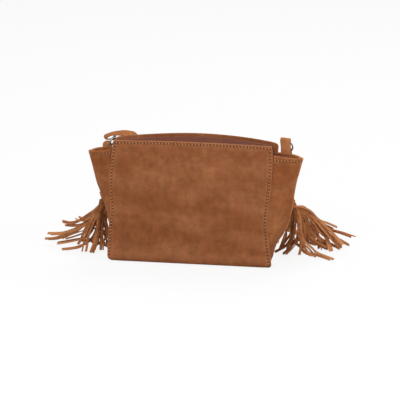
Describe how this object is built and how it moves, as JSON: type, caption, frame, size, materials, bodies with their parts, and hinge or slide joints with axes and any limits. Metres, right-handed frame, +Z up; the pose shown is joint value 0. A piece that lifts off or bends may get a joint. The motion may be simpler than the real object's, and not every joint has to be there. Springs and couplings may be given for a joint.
{
  "type": "fringed suede bag",
  "caption": "Soft suede shoulder bag with folded side wings, a long cut fringe round its front and a flat strap looped through two wire rings.",
  "frame": {"origin": "middle of the flat base's underside, on the surface that the bag stands on", "axes": "+X to the right along the long side as seen from the plain back, +Y from the plain back to the fringed front, +Z up"},
  "size_m": [0.4573, 0.2678, 0.1898],
  "materials": {
    "suede": "matt suede, reddish brown",
    "suede_wing": "matt suede, reddish brown",
    "suede_fringe": "matt suede, light brown",
    "suede_strap": "matt suede, tan",
    "lining_cloth": "matt woven cloth",
    "board": "grey brown stiffening board",
    "metal": "polished silver-coloured wire"
  },
  "bodies": {
    "bag": {"back_panel": "suede", "front_panel": "suede", "base_panel": "suede", "gusset_left": "suede_wing", "gusset_right": "suede_wing", "lining": "lining_cloth", "base_board": "board", "snap_back": "metal", "snap_front": "metal", "tab_left": "suede_strap", "tab_right": "suede_strap", "strap": "suede_strap", "fringe_front": "suede_fringe", "fringe_left": "suede_fringe", "fringe_right": "suede_fringe"},
    "ring_left": {"ring_left": "metal"},
    "ring_right": {"ring_right": "metal"}
  },
  "joints": [
    {"name": "ring_left_turn", "type": "hinge", "parent": "bag", "child": "ring_left", "pos_m": [-0.12763, 0.0065, 0.1736], "axis": [0.8808, -0.1792, -0.4384], "continuous": true},
    {"name": "ring_right_turn", "type": "hinge", "parent": "bag", "child": "ring_right", "pos_m": [0.13872, 0.00923, 0.1772], "axis": [-0.3214, -0.883, -0.342], "continuous": true}
  ]
}
